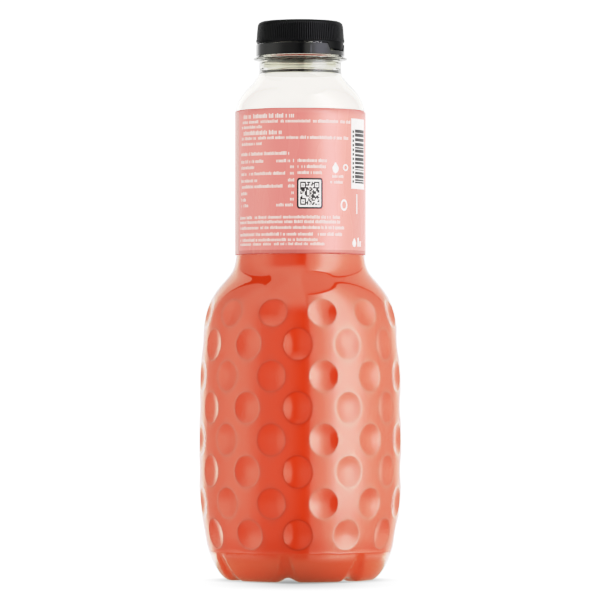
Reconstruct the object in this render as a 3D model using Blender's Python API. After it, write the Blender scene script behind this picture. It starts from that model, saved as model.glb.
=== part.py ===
"""A clear one-litre juice bottle with a dimpled body, and its juice, label, ribbed cap and tamper band."""

import math

import bmesh
import bpy
from mathutils import Vector

MM = 0.001
SAME_LENGTH = 1e-7

# All sizes are in millimetres. Outlines are (radius, height) from the foot upwards.
WALL = 0.5
CLEARANCE = 0.3

# The body from the top of the feet to the label's panel.
BASE_TOP = 12.9
DIMPLES_TOP = 131.0
BODY_OUTLINE = (
    (41.6, BASE_TOP), (43.2, 18.1), (44.1, 23.6), (44.9, 29.1), (45.6, 34.6), (46.1, 42.0),
    (46.2, 50.0), (46.2, 67.5), (46.0, 84.0), (45.8, 95.0), (45.2, 103.0), (44.5, 111.4),
    (43.6, 119.6), (42.1, 125.1), (40.9, 127.8), (39.0, DIMPLES_TOP), (35.8, 135.2), (32.9, 138.3),
    (30.8, 141.2), (29.9, 144.3), (29.35, 148.0),
)

# The empty shoulder from the label's panel to the neck, the support ring, and the thread's tube under the cap.
SHOULDER_OUTLINE = (
    (29.35, 215.2), (28.9, 217.2), (27.1, 220.9), (24.9, 223.8), (22.2, 226.5), (19.9, 229.4), (18.7, 232.2),
)
NECK_OUTLINE = (
    (18.7, 236.8), (21.2, 237.5), (21.4, 238.2), (18.9, 239.0), (17.4, 240.4), (17.4, 252.6),
)
NECK_INSIDE_OUTLINE = ((17.8, 235.4), (15.9, 239.4), (15.9, 252.6))
FILL_LEVEL = 213.4

# The body's dimples are cut by balls. Every other row is turned by half a step.
DIMPLES_ROUND = 12
FIRST_TURN = math.radians(-1.6)
DIMPLE_ROWS = (21.6, 35.9, 50.2, 64.5, 78.8, 93.1, 107.4, 121.7)
DIMPLE_BALL_RADIUS = 12.0
DIMPLE_DEPTH = 2.5
DIMPLE_RIM_POINTS = 8
DIMPLE_FLOOR_POINTS = 4
DIMPLE_FLOOR_SHARE = 0.36
RIM_SEARCH_STEPS = 30

# The foot has seven feet, with valleys between them, round a raised middle.
FEET = 7
FIRST_VALLEY = math.radians(-10.0)
FOOT_COLUMNS = tuple(math.radians(turn) for turn in (0.0, 7.6, 19.7, 31.8, 43.8))
FOOT_OUTLINE = ((18.5, 5.0), (26.6, 0.0), (33.0, 0.0), (35.8, 2.0), (39.2, 7.2))
VALLEY_OUTLINE = ((18.0, 6.8), (25.2, 5.4), (30.6, 5.3), (34.2, 6.8), (38.4, 10.2))
MIDDLE_RADIUS = 9.0
MIDDLE_HEIGHT = 8.6
MIDDLE_STEPS = 12

ROUND_STEPS = 36

# The cap: a ribbed skirt over a plain hem, whose one tab reaches down into a notch of the band.
RIBS = 120
RIB_DEPTH = 0.35
CAP_SKIRT_OUTLINE = ((20.1, 245.3), (19.65, 253.2))
CAP_CROWN_OUTLINE = ((19.1, 254.6), (17.6, 255.1))
CAP_INSIDE_RADIUS = 18.6
CAP_INSIDE_TOP = 253.3
HEM_RADIUS = 19.9
HEM_BOTTOM = 244.8
TAB_BOTTOM = 241.6

BAND_RADIUS = 20.2
BAND_INSIDE_RADIUS = 19.2
BAND_BOTTOM = 239.3
BAND_TOP = 244.4
NOTCH_BOTTOM = 241.2
NOTCH_TURNS = tuple(math.radians(turn) for turn in (37.5, 43.5, 76.5, 82.5))
TAB_MARGIN = math.radians(1.0)

LABEL_RADIUS = 29.9
LABEL_INSIDE_RADIUS = 29.62
LABEL_BOTTOM = 150.3
LABEL_TOP = 214.3


def clear_scene():
    for thing in list(bpy.data.objects):
        bpy.data.objects.remove(thing, do_unlink=True)


def material(name, colour, roughness, alpha=1.0):
    made = bpy.data.materials.new(name)
    made.use_nodes = True
    shader = made.node_tree.nodes["Principled BSDF"]
    shader.inputs["Base Color"].default_value = (*colour, 1.0)
    shader.inputs["Roughness"].default_value = roughness
    shader.inputs["Metallic"].default_value = 0.0
    shader.inputs["Alpha"].default_value = alpha
    return made


def add_piece(bm, name, piece_material):
    """Turns a finished mesh outwards and puts it in the scene as one named piece."""
    bmesh.ops.recalc_face_normals(bm, faces=bm.faces)
    mesh = bpy.data.meshes.new(name)
    bm.to_mesh(mesh)
    bm.free()
    mesh.materials.append(piece_material)
    mesh.shade_smooth()
    mesh.set_sharp_from_angle(angle=math.radians(32))
    piece = bpy.data.objects.new(name, mesh)
    bpy.context.scene.collection.objects.link(piece)
    return piece


def around(radius, turn, height):
    """The point at a radius and height, turned from the front, which is -Y, towards +X."""
    return Vector((radius * math.sin(turn), -radius * math.cos(turn), height))


def vertex(bm, point):
    return bm.verts.new(point * MM)


def even_turns(steps, first=0.0):
    return [first + 2 * math.pi * step / steps for step in range(steps)]


def ring(bm, turns, radius, height):
    """A loop round the axis, as (turn, vertex) pairs."""
    return [(turn, vertex(bm, around(radius, turn, height))) for turn in turns]


def stitch(bm, loop, other):
    """Triangles between two loops of (turn, vertex) pairs that start side by side, by the shorter diagonals."""
    at = across = 0
    while at < len(loop) or across < len(other):
        here, ahead = loop[at % len(loop)][1], loop[(at + 1) % len(loop)][1]
        there, opposite = other[across % len(other)][1], other[(across + 1) % len(other)][1]
        loop_is_nearer = (ahead.co - there.co).length <= (opposite.co - here.co).length + SAME_LENGTH
        if across == len(other) or (at < len(loop) and loop_is_nearer):
            bm.faces.new((here, ahead, there))
            at += 1
        else:
            bm.faces.new((here, opposite, there))
            across += 1


def stack(bm, rings):
    """Joins each ring to the next."""
    for low, high in zip(rings, rings[1:]):
        stitch(bm, low, high)


def close(bm, loop):
    bm.faces.new([found for _, found in loop])


def moved_in(outline, inset):
    """The outline moved inwards by the inset, square to the line through each point's neighbours."""
    moved = []
    for index, (radius, height) in enumerate(outline):
        low = outline[max(index - 1, 0)]
        high = outline[min(index + 1, len(outline) - 1)]
        along = Vector((high[0] - low[0], high[1] - low[1])).normalized()
        moved.append((radius - along.y * inset, height + along.x * inset))
    return moved


def body_at(height):
    """The body's radius at a height and its slope there, by a smooth cubic through the outline's points."""
    points = BODY_OUTLINE
    last = len(points) - 1

    def slope(index):
        low, high = points[max(index - 1, 0)], points[min(index + 1, last)]
        return (high[0] - low[0]) / (high[1] - low[1])

    index = max(number for number in range(last) if points[number][1] <= max(height, BASE_TOP))
    (low_radius, low_height), (high_radius, high_height) = points[index], points[index + 1]
    step = high_height - low_height
    t = (height - low_height) / step
    radius = (
        (2 * t**3 - 3 * t**2 + 1) * low_radius + (t**3 - 2 * t**2 + t) * step * slope(index)
        + (3 * t**2 - 2 * t**3) * high_radius + (t**3 - t**2) * step * slope(index + 1)
    )
    steep = (
        (6 * t**2 - 6 * t) * (low_radius - high_radius) / step
        + (3 * t**2 - 4 * t + 1) * slope(index) + (3 * t**2 - 2 * t) * slope(index + 1)
    )
    return radius, steep


def body_point(turn, height, inset):
    """A point of the plain body moved inwards square to its surface, and the outward direction there."""
    radius, steep = body_at(height)
    lean = math.atan(-steep)
    outwards = around(math.cos(lean), turn, math.sin(lean))
    return around(radius, turn, height) - outwards * inset, outwards


def dimple_loops(bm, turn, height, inset):
    """The rim of one dimple, where its ball leaves the body, and a smaller loop near the ball's lowest point."""
    deepest, outwards = body_point(turn, height, 0.0)
    radius, _ = body_at(height)
    centre = deepest + outwards * (DIMPLE_BALL_RADIUS - DIMPLE_DEPTH)
    ball = DIMPLE_BALL_RADIUS + inset

    def from_centre(spoke, reach):
        across = turn + reach * math.cos(spoke) / radius
        return body_point(across, height + reach * math.sin(spoke), inset)[0] - centre

    def loop(count, share):
        points = []
        for spoke in even_turns(count):
            near, far = 0.0, DIMPLE_BALL_RADIUS
            for _ in range(RIM_SEARCH_STEPS):
                middle = (near + far) / 2
                if from_centre(spoke, middle).length < ball:
                    near = middle
                else:
                    far = middle
            direction = (-outwards).slerp(from_centre(spoke, near).normalized(), share)
            points.append((spoke, vertex(bm, centre + direction * ball)))
        return points

    return loop(DIMPLE_RIM_POINTS, 1.0), loop(DIMPLE_FLOOR_POINTS, DIMPLE_FLOOR_SHARE)


def dimpled_wall(bm, inset):
    """The dimpled part of the body. Returns its lowest and highest loops.

    Posts stand on the body halfway between the dimples of each row, and each dimple fills the cell between the
    posts beside, above and below it. The first and last rows have only posts, all the way round.
    """
    heights = (BASE_TOP, *DIMPLE_ROWS, DIMPLES_TOP)
    last = len(heights) - 1
    turns = even_turns(2 * DIMPLES_ROUND, FIRST_TURN)
    posts = {
        (column, row): vertex(bm, body_point(turn, height, inset)[0])
        for row, height in enumerate(heights)
        for column, turn in enumerate(turns)
        if row in (0, last) or (column + row) % 2 == 0
    }
    for row in range(1, last):
        sideways = [(1, 0), (-1, 0)]
        above = [(1, 1), (0, 1), (-1, 1)] if row == last - 1 else [(0, 1)]
        below = [(1, -1), (0, -1), (-1, -1)] if row == 1 else [(0, -1)]
        for column in range(1 - row % 2, len(turns), 2):
            rim, floor = dimple_loops(bm, turns[column], heights[row], inset)
            cell = []
            for right, up in sideways + above + below:
                across = right * body_at(heights[row])[0] * math.pi / DIMPLES_ROUND
                spoke = math.atan2(heights[row + up] - heights[row], across) % (2 * math.pi)
                cell.append((spoke, posts[(column + right) % len(turns), row + up]))
            stitch(bm, floor, rim)
            close(bm, floor)
            stitch(bm, rim, sorted(cell, key=lambda corner: corner[0]))
    return [[(turn, posts[column, row]) for column, turn in enumerate(turns)] for row in (0, last)]


def foot_rings(bm, inset):
    """The rings of the feet and valleys, from the raised middle outwards."""
    middle = ring(bm, even_turns(MIDDLE_STEPS), MIDDLE_RADIUS, MIDDLE_HEIGHT + inset)
    rings = [middle]
    top = BODY_OUTLINE[0]
    feet = moved_in((*FOOT_OUTLINE, top), inset)[:-1]
    valleys = moved_in((*VALLEY_OUTLINE, top), inset)[:-1]
    for foot, valley in zip(feet, valleys):
        loop = []
        for first in even_turns(FEET, FIRST_VALLEY):
            for column in FOOT_COLUMNS:
                radius, height = foot if column else valley
                loop.append((first + column, vertex(bm, around(radius, first + column, height))))
        rings.append(loop)
    return rings


def body_wall(bm, inset):
    """The body from its raised middle to the label's panel. Returns the panel's lower ring."""
    low, high = dimpled_wall(bm, inset)
    rings = foot_rings(bm, inset)
    close(bm, rings[0])
    stack(bm, [*rings, low])
    turns = even_turns(ROUND_STEPS)
    waist = [point for point in BODY_OUTLINE if point[1] >= DIMPLES_TOP]
    waist_rings = [ring(bm, turns, *point) for point in moved_in(waist, inset)[1:]]
    stack(bm, [high, *waist_rings])
    return waist_rings[-1]


def add_bottle(clear):
    bm = bmesh.new()
    turns = even_turns(ROUND_STEPS)
    outer_panel = body_wall(bm, 0.0)
    inner_panel = body_wall(bm, WALL)
    outside = [ring(bm, turns, *point) for point in (*SHOULDER_OUTLINE, *NECK_OUTLINE)]
    inner_points = (*moved_in(SHOULDER_OUTLINE, WALL), *NECK_INSIDE_OUTLINE)
    inside = [ring(bm, turns, *point) for point in inner_points]
    stack(bm, [outer_panel, *outside, *reversed(inside), inner_panel])
    add_piece(bm, "bottle", clear)


def add_juice(drink):
    bm = bmesh.new()
    inset = WALL + CLEARANCE
    panel = body_wall(bm, inset)
    surface = ring(bm, even_turns(ROUND_STEPS), SHOULDER_OUTLINE[0][0] - inset, FILL_LEVEL)
    stitch(bm, panel, surface)
    close(bm, surface)
    add_piece(bm, "juice", drink)


def notched_turns(margin):
    """Turns round the cap with extra ones at the notch's corners. Returns the turns and the tab's range."""
    corners = [turn + margin * side for turn, side in zip(NOTCH_TURNS, (1, 1, -1, -1))]
    spread = 2 * math.pi / ROUND_STEPS
    others = [
        turn for turn in even_turns(ROUND_STEPS)
        if all(abs(turn - corner) > spread / 3 for corner in corners)
    ]
    return sorted(corners + others), corners[1], corners[2]


def notched_ring(bm, margin, radius, level, low_level):
    """A ring at one level that steps down to a lower one along the notch."""
    turns, first, last = notched_turns(margin)
    return [
        (turn, vertex(bm, around(radius, turn, low_level if first <= turn <= last else level)))
        for turn in turns
    ]


def add_cap(black):
    bm = bmesh.new()
    rib_turns = even_turns(2 * RIBS)
    skirt = []
    for radius, height in CAP_SKIRT_OUTLINE:
        radii = (radius, radius - RIB_DEPTH)
        skirt.append([
            (turn, vertex(bm, around(radii[number % 2], turn, height)))
            for number, turn in enumerate(rib_turns)
        ])
    crown = [ring(bm, even_turns(ROUND_STEPS), *point) for point in CAP_CROWN_OUTLINE]
    hem_turns = notched_turns(TAB_MARGIN)[0]
    hem_top = ring(bm, hem_turns, HEM_RADIUS - RIB_DEPTH, CAP_SKIRT_OUTLINE[0][1])
    hem = notched_ring(bm, TAB_MARGIN, HEM_RADIUS, HEM_BOTTOM, TAB_BOTTOM)
    lining = notched_ring(bm, TAB_MARGIN, CAP_INSIDE_RADIUS, HEM_BOTTOM, TAB_BOTTOM)
    ceiling = ring(bm, hem_turns, CAP_INSIDE_RADIUS, CAP_INSIDE_TOP)
    stack(bm, [ceiling, lining, hem, hem_top, *skirt, *crown])
    close(bm, ceiling)
    close(bm, crown[-1])
    add_piece(bm, "cap", black)


def add_tamper_band(black):
    bm = bmesh.new()
    turns = notched_turns(0.0)[0]
    outer_low = ring(bm, turns, BAND_RADIUS, BAND_BOTTOM)
    outer_high = notched_ring(bm, 0.0, BAND_RADIUS, BAND_TOP, NOTCH_BOTTOM)
    inner_high = notched_ring(bm, 0.0, BAND_INSIDE_RADIUS, BAND_TOP, NOTCH_BOTTOM)
    inner_low = ring(bm, turns, BAND_INSIDE_RADIUS, BAND_BOTTOM)
    stack(bm, [outer_low, outer_high, inner_high, inner_low, outer_low])
    add_piece(bm, "tamper_band", black)


def add_label(film):
    bm = bmesh.new()
    turns = even_turns(ROUND_STEPS)
    corners = (
        (LABEL_RADIUS, LABEL_BOTTOM), (LABEL_RADIUS, LABEL_TOP),
        (LABEL_INSIDE_RADIUS, LABEL_TOP), (LABEL_INSIDE_RADIUS, LABEL_BOTTOM),
    )
    rings = [ring(bm, turns, *corner) for corner in corners]
    stack(bm, [*rings, rings[0]])
    add_piece(bm, "label", film)


def main():
    clear_scene()
    add_bottle(material("clear_plastic", (0.93, 0.94, 0.92), 0.05, 0.35))
    add_juice(material("juice", (0.80, 0.16, 0.06), 0.35))
    add_cap(material("black_plastic", (0.012, 0.013, 0.014), 0.25))
    add_tamper_band(material("band_plastic", (0.012, 0.012, 0.012), 0.2))
    add_label(material("label_film", (0.86, 0.40, 0.35), 0.3))


main()
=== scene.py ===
import math

import bmesh
import bpy
import numpy as np
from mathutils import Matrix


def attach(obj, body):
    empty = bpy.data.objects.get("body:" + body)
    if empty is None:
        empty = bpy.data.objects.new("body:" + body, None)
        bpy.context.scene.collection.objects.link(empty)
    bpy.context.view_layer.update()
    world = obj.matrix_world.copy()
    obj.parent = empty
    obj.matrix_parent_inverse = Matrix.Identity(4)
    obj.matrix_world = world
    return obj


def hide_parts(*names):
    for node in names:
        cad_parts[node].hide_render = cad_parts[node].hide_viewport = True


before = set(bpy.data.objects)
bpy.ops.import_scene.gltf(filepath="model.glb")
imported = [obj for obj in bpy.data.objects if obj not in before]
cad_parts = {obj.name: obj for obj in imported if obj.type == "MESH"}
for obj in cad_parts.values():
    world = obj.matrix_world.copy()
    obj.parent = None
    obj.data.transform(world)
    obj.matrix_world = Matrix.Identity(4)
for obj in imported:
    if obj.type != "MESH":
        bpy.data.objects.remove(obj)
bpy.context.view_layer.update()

bl_info = {
    "name": "Juice bottle",
    "version": (1, 0, 0),
    "blender": (4, 5, 0),
    "location": "View3D > Sidebar > Bottle",
    "description": "Makes a clear dimpled bottle of red juice with its label, ribbed cap and tamper band",
    "category": "Add Mesh",
}

MM = 0.001
MERGE_DISTANCE = 2e-6

# Heights and radii in millimetres, as the solids have them.
BASE_TOP = 12.9
PANEL_BOTTOM = 148.0
BODY_OUTLINE = np.array((
    (41.6, BASE_TOP), (43.2, 18.1), (44.1, 23.6), (44.9, 29.1), (45.6, 34.6), (46.1, 42.0),
    (46.2, 50.0), (46.2, 67.5), (46.0, 84.0), (45.8, 95.0), (45.2, 103.0), (44.5, 111.4),
    (43.6, 119.6), (42.1, 125.1), (40.9, 127.8), (39.0, 131.0), (35.8, 135.2), (32.9, 138.3),
    (30.8, 141.2), (29.9, 144.3), (29.35, PANEL_BOTTOM),
))
# How the body's outline is evened: the step of its table, the width of the bell-shaped mean, how far the mean
# reaches, and over what height it fades towards both ends.
EVEN_STEP = 0.1
EVEN_WIDTH = 1.6
EVEN_REACH = 6.0
EVEN_FADE = 3.0

PANEL_RADIUS = 29.35
PANEL_HIDDEN = 204.0
SHOULDER_OUTLINE = (
    (29.35, 214.2), (29.3, 215.4), (28.9, 217.2), (27.1, 220.9), (24.9, 223.8), (22.2, 226.5), (19.9, 229.4),
    (18.85, 231.4), (18.7, 233.4),
)
NECK_OUTLINE = (
    (18.7, 236.3), (18.95, 237.0), (20.9, 237.45), (21.35, 237.75), (21.4, 238.05), (21.1, 238.3),
    (19.2, 238.85), (18.5, 239.25), (17.6, 240.3), (17.4, 241.0), (17.4, 252.2), (17.25, 252.55),
)
NECK_INSIDE_OUTLINE = (
    (16.05, 252.55), (15.9, 252.2), (15.9, 241.2), (16.3, 239.4), (16.7, 237.4), (16.85, 235.0),
    (16.9, 232.9), (17.1, 232.1), (17.8, 231.6), (18.35, 231.2), (18.65, 230.5),
)
LINING_TOP = 229.5
FILL_LEVEL = 214.15
# The drink's edge under the film: how far in and how far down each of its points lies, and a ring further in.
MENISCUS = ((0.0, 0.0), (0.6, 0.35), (2.0, 0.5))
LEVEL_RING = 12.0

# The dimples' balls stand on the body in rows, every other row turned by half a step.
DIMPLES_ROUND = 12
DIMPLE_STEP = 2 * math.pi / DIMPLES_ROUND
FIRST_TURN = math.radians(-1.6)
DIMPLE_ROWS = (21.6, 35.9, 50.2, 64.5, 78.8, 93.1, 107.4, 121.7)
DIMPLED_BOTTOM = 13.9
DIMPLED_TOP = 131.0
BALL_RADIUS = 12.0
BALL_SUNK = 2.5
RIM_HALVINGS = 40
DISH_SLOPE = 0.42
DISH_FLAT = 0.78
DISH_RADIUS = 7.0
DISH_SOFTNESS = 0.8
RING_SPREAD = 0.85

# The feet, with the valleys between them. A valley is wide under the bottle and narrow on its wall, which
# begins at a point of the outlines, counted from the middle.
FEET = 7
FIRST_VALLEY = math.radians(-10.0)
VALLEY_HALF = math.radians(10.5)
VALLEY_WALL_HALF = math.radians(2.7)
WALL_START = 8.2
WALL_SPAN = 4.0
CRISP_RATE = 3.0
VALLEY_DRAW = 0.55
VALLEY_DRAW_FADE = 1.5
# A painted highlight along each valley's edges: its strength, its place across the valley, and its half
# width.
CREST_PAINTED_HIGHLIGHT = 2.5
CREST_PLACE = 0.94
CREST_HALF = 0.12
FOOT_OUTLINE = (
    (0.0, 9.0), (9.0, 8.4), (18.0, 5.2), (23.6, 1.6), (26.8, 0.12), (28.4, 0.0), (31.8, 0.0), (33.4, 0.18),
    (35.7, 1.9), (37.9, 4.8), (39.5, 7.6), (40.8, 10.4), (41.6, BASE_TOP),
)
VALLEY_OUTLINE = (
    (0.0, 9.0), (9.0, 8.5), (17.6, 6.6), (22.0, 4.9), (25.2, 3.4), (27.6, 2.5), (30.4, 2.05), (32.4, 2.05),
    (34.3, 2.9), (36.3, 5.2), (38.2, 8.0), (40.2, 10.9), (41.6, BASE_TOP),
)
PARTING_HEIGHT = 13.6
PARTING_RELIEF = 0.16
PARTING_HALF = 0.18
PARTING_ROWS = PARTING_HEIGHT + PARTING_HALF * np.linspace(-1.6, 1.2, 8)

# Columns round the neck, the shoulder and the waist.
WAIST_COUNT = 120

# How finely each skin of the body is divided: steps along a dimple cell's side and along half of its lower
# edge, the waist's step in height, and rings inside, over and outside a dimple's rim.
OUTSIDE = {"fine": 10, "bottom_fine": 20, "waist_step": 0.8, "rings": (4, 5, 2)}
INSIDE = {"fine": 6, "bottom_fine": 6, "waist_step": 2.0, "rings": (2, 3, 1)}
DRINK_SKIN = {"fine": 10, "bottom_fine": 20, "waist_step": 1.2, "rings": (4, 5, 2)}


class BottleSizes(bpy.types.PropertyGroup):
    """Sizes of the clear bottle that may be changed."""

    wall: bpy.props.FloatProperty(
        name="Wall", description="Thickness of the blown wall", default=0.0005, unit="LENGTH",
    )
    drink_inset: bpy.props.FloatProperty(
        name="Drink inset", description="How deep in the wall the drink begins", default=0.00025,
        unit="LENGTH",
    )
    rim_round: bpy.props.FloatProperty(
        name="Rim rounding", description="Half width of the rounding at a dimple's rim", default=0.0003,
        unit="LENGTH",
    )


# Each colour's own name, its name and description for the user, and its default.
COLOURS = (
    ("drink", "Drink", "Colour of the juice", (0.635, 0.039, 0.0085)),
    ("plastic", "Clear plastic", "Tint of the clear wall", (0.975, 0.96, 0.922)),
    ("thick_plastic", "Thick clear plastic", "Tint of the thick neck", (0.645, 0.64, 0.56)),
    ("black", "Cap", "Colour of the cap and the band", (0.0022, 0.0024, 0.0028)),
    ("pink", "Label", "Colour of the printed film", (0.74, 0.214, 0.192)),
    ("bare_film", "Bare film", "Colour of the film's unprinted margin over the drink", (0.50, 0.125, 0.105)),
    ("overlap", "Film overlap", "Colour where the film lies double", (0.55, 0.22, 0.19)),
    ("dark_ink", "Dark ink", "Colour of the bars and cells", (0.012, 0.009, 0.009)),
    ("thin_ink", "Thin ink", "Colour of the rows of small marks", (0.88, 0.66, 0.61)),
    ("ink", "Pale ink", "Colour of the printed marks", (0.92, 0.88, 0.86)),
)


class BottleColours(bpy.types.PropertyGroup):
    """Colours of the drink, the plastics and the print."""

    __annotations__ = {
        key: bpy.props.FloatVectorProperty(
            name=name, description=description, subtype="COLOR", default=default, max=1.0,
        )
        for key, name, description, default in COLOURS
    }


def sizes():
    return bpy.context.scene.bottle_sizes


def colours():
    return bpy.context.scene.bottle_colours


# Shapes

def cylinder_points(radius, turn, height):
    """Points at a radius and height, turned from the front (-Y) towards +X: x = r sin t, y = -r cos t."""
    radius, turn, height = np.broadcast_arrays(radius, turn, height)
    return np.stack((radius * np.sin(turn), -radius * np.cos(turn), height), axis=-1)


def smooth_through(points, steps):
    """A smooth line through (radius, height) points.

    Between two points it is the cubic whose slopes at them come from their neighbours, taken at equal steps.
    """
    knots = np.asarray(points, float)
    spread = np.r_[0.0, np.cumsum(np.linalg.norm(np.diff(knots, axis=0), axis=1))]
    slopes = np.gradient(knots, spread, axis=0)
    part = np.linspace(0, 1, steps, endpoint=False)[None, :, None]
    low, high = knots[:-1, None], knots[1:, None]
    span = np.diff(spread)[:, None, None]
    line = (
        (2 * part**3 - 3 * part**2 + 1) * low + (part**3 - 2 * part**2 + part) * span * slopes[:-1, None]
        + (3 * part**2 - 2 * part**3) * high + (part**3 - part**2) * span * slopes[1:, None]
    )
    return np.concatenate((line.reshape(-1, 2), knots[-1:]))


def evened_body():
    """The body's outline as a table of radius by height: the smooth line, evened by a bell-shaped mean."""
    line = smooth_through(BODY_OUTLINE, 12)
    heights = np.arange(BASE_TOP, PANEL_BOTTOM + EVEN_STEP, EVEN_STEP)
    radii = np.interp(heights, line[:, 1], line[:, 0])
    reach = round(EVEN_REACH / EVEN_STEP)
    low = radii[0] + (radii[1] - radii[0]) * np.arange(-reach, 0)
    high = np.full(reach, radii[-1])
    bell = np.exp(-0.5 * (np.arange(-reach, reach + 1) * EVEN_STEP / EVEN_WIDTH) ** 2)
    even = np.convolve(np.r_[low, radii, high], bell / bell.sum(), mode="valid")
    keep = np.clip(np.minimum(heights - heights[0], heights[-1] - heights) / EVEN_FADE, 0, 1)
    return heights, radii + (even - radii) * keep


BODY_HEIGHTS, BODY_RADII = evened_body()
BODY_SLOPES = np.gradient(BODY_RADII, BODY_HEIGHTS)


def body_surface(turn, height):
    """Points of the plain body, and the outward directions there, from its outline's radius and slope."""
    radius = np.interp(height, BODY_HEIGHTS, BODY_RADII)
    lean = -np.arctan(np.interp(height, BODY_HEIGHTS, BODY_SLOPES))
    return cylinder_points(radius, turn, height), cylinder_points(np.cos(lean), turn, np.sin(lean))


def dish_depth(share):
    """How deep the dimple is at a share of the way from its centre to its rim: a hyperbola.

    It is flat in the middle and comes up to the rim at an even slope, and it is negative beyond the rim.
    """
    far, here = math.hypot(1, DISH_FLAT), np.hypot(share, DISH_FLAT)
    return DISH_RADIUS * DISH_SLOPE * (far - here)


def soft_max(depth, width):
    """The larger of the depth and nothing, blended by a parabola where they are within the width."""
    share = np.clip(0.5 + 0.5 * depth / width, 0, 1)
    return depth * share + width * share * (1 - share)


def cell_border(row, fine, bottom_fine, top_fine):
    """The border of the cell round a dimple of one row, as (turn, height) offsets going anticlockwise.

    The cell is a diamond whose corners are halfway to the next dimples. In the first and last rows its
    outer side is drawn out to the straight edge of the dimpled zone, where each half has its own steps.
    """
    half = DIMPLE_STEP / 2
    here = DIMPLE_ROWS[row]
    lower = DIMPLE_ROWS[row - 1] if row else DIMPLED_BOTTOM
    upper = DIMPLE_ROWS[row + 1] if row + 1 < len(DIMPLE_ROWS) else DIMPLED_TOP
    if row == 0:
        corners = [(half, here), (0, upper), (-half, here), (-half, lower), (0, lower), (half, lower)]
        steps = [fine, fine, fine // 2, bottom_fine, bottom_fine, fine // 2]
    elif row + 1 == len(DIMPLE_ROWS):
        corners = [(half, here), (half, upper), (0, upper), (-half, upper), (-half, here), (0, lower)]
        steps = [fine // 2, top_fine, top_fine, fine // 2, fine, fine]
    else:
        corners = [(half, here), (0, upper), (-half, here), (0, lower)]
        steps = [fine] * 4
    border = []
    for start, end, count in zip(corners, corners[1:] + corners[:1], steps):
        part = np.linspace(0, 1, count, endpoint=False)[:, None]
        border.append(np.array(start) * (1 - part) + np.array(end) * part)
    return np.concatenate(border)


class Patchwork:
    """Points and faces of several grids, joined into one mesh where their edges meet."""

    def __init__(self):
        self.points = []
        self.faces = []
        self.kinds = []
        self.painted_light_bells = []
        self.count = 0

    def add(self, points, faces, kind=0, painted_light_bell=0.0):
        self.painted_light_bells.append(np.broadcast_to(painted_light_bell, points.shape[:-1]).ravel())
        self.points.append(points.reshape(-1, 3))
        self.faces.append(faces + self.count)
        self.kinds.append(np.full(len(faces), kind))
        self.count += points.reshape(-1, 3).shape[0]

    def add_grid(self, points, wrap=True, flip=False, kind=0, painted_light_bell=0.0):
        """A grid of rows by columns, closed round its columns if wrap is true."""
        rows, columns = points.shape[:2]
        index = np.arange(rows * columns).reshape(rows, columns)
        ahead = np.roll(index, -1, axis=1)
        if not wrap:
            index, ahead = index[:, :-1], ahead[:, :-1]
        quads = np.stack((index[:-1], ahead[:-1], ahead[1:], index[1:]), axis=-1).reshape(-1, 4)
        self.add(points, quads[:, ::-1] if flip else quads, kind, painted_light_bell)

    def build(self, name, materials):
        """Makes the object: equal points are merged, faces with no area go, and shading is smooth."""
        mesh = bpy.data.meshes.new(name)
        points = np.concatenate(self.points) * MM
        faces = np.concatenate(self.faces)
        mesh.vertices.add(len(points))
        mesh.vertices.foreach_set("co", points.ravel())
        mesh.loops.add(faces.size)
        mesh.loops.foreach_set("vertex_index", faces.ravel())
        mesh.polygons.add(len(faces))
        mesh.polygons.foreach_set("loop_start", np.arange(0, faces.size, faces.shape[1]))
        mesh.polygons.foreach_set("material_index", np.concatenate(self.kinds))
        mesh.update(calc_edges=True)
        # Each point's bell over rims and valley edges, kept as the rim attribute for painted shade and
        # highlight.
        painted_light_bells = mesh.attributes.new("rim", "FLOAT", "POINT")
        painted_light_bells.data.foreach_set("value", np.concatenate(self.painted_light_bells).astype(np.float32))
        bm = bmesh.new()
        bm.from_mesh(mesh)
        bmesh.ops.remove_doubles(bm, verts=bm.verts, dist=MERGE_DISTANCE)
        bmesh.ops.dissolve_degenerate(bm, edges=bm.edges, dist=MERGE_DISTANCE / 4)
        bm.to_mesh(mesh)
        bm.free()
        mesh.shade_smooth()
        for material in materials:
            mesh.materials.append(material)
        piece = bpy.data.objects.new(name, mesh)
        bpy.context.scene.collection.objects.link(piece)
        return piece


def rim_distance(direction, radius, middle):
    """How far a dimple's rim lies from its centre in each direction, found by halving.

    The rim is where a ball meets the plain body.
    """
    centre, out = body_surface(0.0, middle)
    centre = centre + out * (BALL_RADIUS - BALL_SUNK)
    near, far = np.zeros(len(direction)), np.full(len(direction), BALL_RADIUS)
    for _ in range(RIM_HALVINGS):
        reach = (near + far) / 2
        flat = direction * reach[:, None]
        points, _ = body_surface(flat[:, 0] / radius, flat[:, 1] + middle)
        inside = ((points - centre) ** 2).sum(-1) < BALL_RADIUS**2
        near, far = np.where(inside, reach, near), np.where(inside, far, reach)
    return near


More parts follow.
